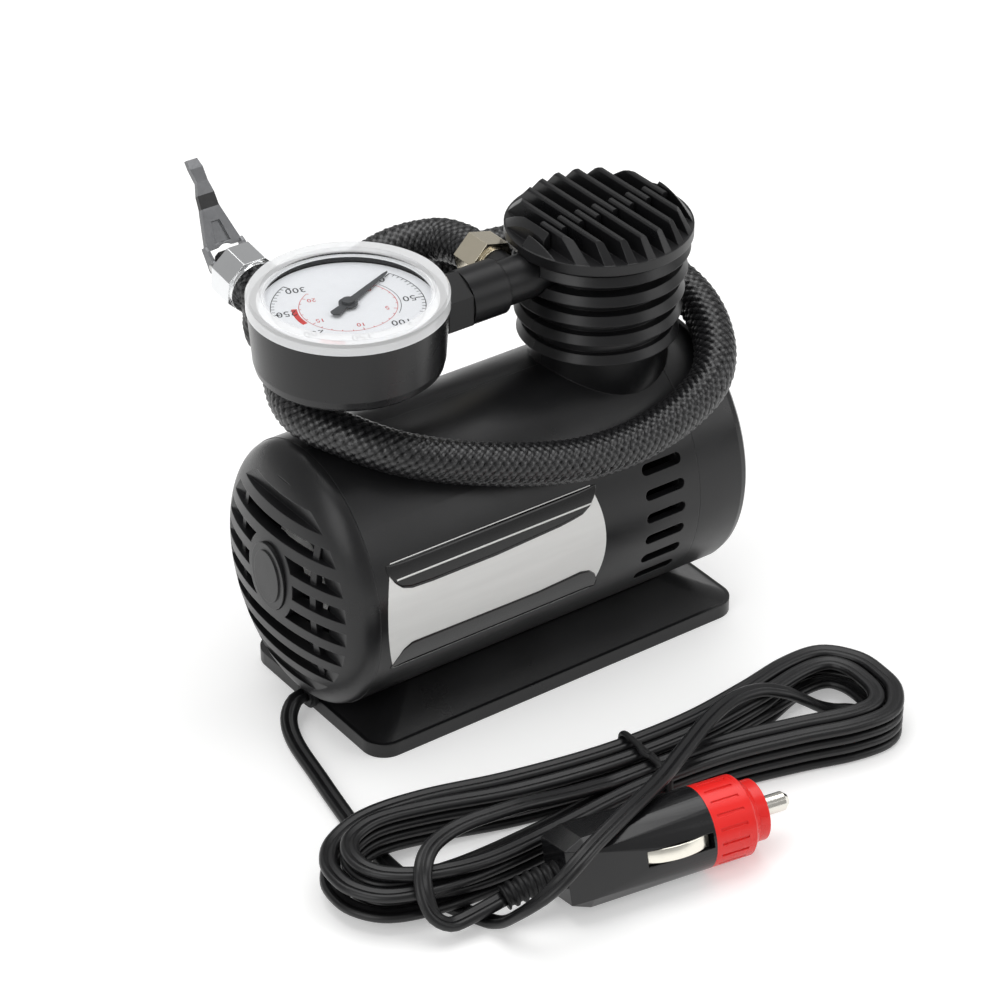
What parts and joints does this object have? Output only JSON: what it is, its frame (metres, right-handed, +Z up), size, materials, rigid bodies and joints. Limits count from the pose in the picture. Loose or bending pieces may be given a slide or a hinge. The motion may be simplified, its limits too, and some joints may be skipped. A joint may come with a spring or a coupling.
{
  "type": "portable tire inflator",
  "caption": "Small 12 V piston air compressor: ribbed-grille oval body on a flat base, finned head, round pressure gauge, braided hose with lever chuck, and corded plug.",
  "frame": {"origin": "centre of the base plate's underside, on the surface that it stands on", "axes": "+X along the motor from the grille to the rear cap, +Z up, the label faces -Y"},
  "size_m": [0.1685, 0.1982, 0.1224],
  "materials": {
    "black_plastic": "fine satin texture, moulded",
    "base_plastic": "satin, moulded",
    "badge_plastic": "glossy blank oval",
    "label_foil": "silver foil with printed dark bands, no text",
    "steel": "zinc plated",
    "magnet": "sintered, matt",
    "copper": "enamelled copper and laminations",
    "bronze": "sintered bronze",
    "fan_plastic": "natural white nylon",
    "frame_alloy": "die cast",
    "alloy": "machined",
    "cup_rubber": "lip seal compound",
    "valve_steel": "spring steel on a plate",
    "pipe_plastic": "smooth black",
    "case_metal": "black semi-gloss paint",
    "brass": "turned",
    "dial_white": "white enamel with printed scale",
    "needle_grey": "dark grey",
    "clear_cover": "clear moulded",
    "hose_braid": "black textile braid over rubber",
    "chrome": "bright plate",
    "die_cast": "grey tumbled zinc casting",
    "cord_rubber": "black flat twin cord",
    "red_plastic": "glossy red",
    "fuse_glass": "metal caps on a tube"
  },
  "bodies": {
    "compressor": {"base_plate": "base_plastic", "base_screws": "steel", "housing_left": "black_plastic", "housing_right": "black_plastic", "housing_screws": "steel", "front_grille": "black_plastic", "grille_badge": "badge_plastic", "rear_cap": "black_plastic", "side_label": "label_foil", "motor_can": "steel", "motor_magnets": "magnet", "motor_end_bell": "black_plastic", "motor_bushes": "bronze", "drive_frame": "frame_alloy", "motor_screws": "steel", "gear_axle": "steel", "cylinder_liner": "alloy", "valve_plate": "valve_steel", "cylinder_head": "frame_alloy", "head_screws": "steel", "outlet_pipe": "pipe_plastic", "pipe_collar": "pipe_plastic", "gauge_nut": "pipe_plastic", "gauge_case": "case_metal", "gauge_socket": "brass", "bourdon_tube": "bronze", "movement_plates": "brass", "gauge_dial": "dial_white", "gauge_cover": "clear_cover", "hose_nut": "brass", "air_hose": "hose_braid", "chuck_body": "die_cast", "chuck_nut": "chrome", "chuck_seal": "cup_rubber", "lever_pin": "steel", "cord_gland": "cord_rubber", "power_cord": "cord_rubber", "cord_hank": "cord_rubber", "cord_tie": "black_plastic", "plug_relief": "cord_rubber", "plug_grip": "black_plastic", "plug_collar": "red_plastic", "plug_fuse": "fuse_glass", "plug_springs": "chrome"},
    "rotor": {"rotor_shaft": "steel", "armature": "copper", "commutator": "copper", "cooling_fan": "fan_plastic", "motor_pinion": "brass"},
    "crank": {"crank_gear": "fan_plastic"},
    "piston": {"connecting_rod": "alloy", "rod_bush": "bronze", "piston_cup": "cup_rubber", "piston_retainer": "steel"},
    "pointer": {"pointer_shaft": "brass", "gauge_needle": "needle_grey"},
    "sector": {"sector_gear": "brass"},
    "lever": {"chuck_lever": "die_cast"},
    "plug_pin": {"plug_tip": "chrome", "tip_spring": "steel"}
  },
  "joints": [
    {"name": "motor_spin", "type": "hinge", "parent": "compressor", "child": "rotor", "pos_m": [0, 0, 0.03995], "axis": [1, 0, 0], "continuous": true},
    {"name": "crank_spin", "type": "hinge", "parent": "compressor", "child": "crank", "pos_m": [0.0215, 0, 0.055], "axis": [1, 0, 0], "continuous": true},
    {"name": "piston_slide", "type": "slide", "parent": "compressor", "child": "piston", "axis": [0, 0, 1], "range_m": [0, 0.012]},
    {"name": "sector_swing", "type": "hinge", "parent": "compressor", "child": "sector", "pos_m": [-0.0392, 0, 0.106], "axis": [0, 0, 1], "range_deg": [0, 73.6]},
    {"name": "needle_swing", "type": "hinge", "parent": "compressor", "child": "pointer", "pos_m": [-0.0448, 0, 0.106], "axis": [0, 0, 1], "range_deg": [-270, 0]},
    {"name": "lever_swing", "type": "hinge", "parent": "compressor", "child": "lever", "pos_m": [-0.042, 0.05961, 0.10004], "axis": [1, 0, 0], "range_deg": [0, 60]},
    {"name": "tip_push", "type": "slide", "parent": "compressor", "child": "plug_pin", "axis": [0.9863, -0.165, 0], "range_m": [-0.003, 0], "stiffness_N_per_m": 400, "springref_m": 0.002}
  ],
  "couplings": [
    {"joint": "crank_spin", "follows": "motor_spin", "ratio": -0.25},
    {"joint": "needle_swing", "follows": "sector_swing", "ratio": -3.6667}
  ]
}
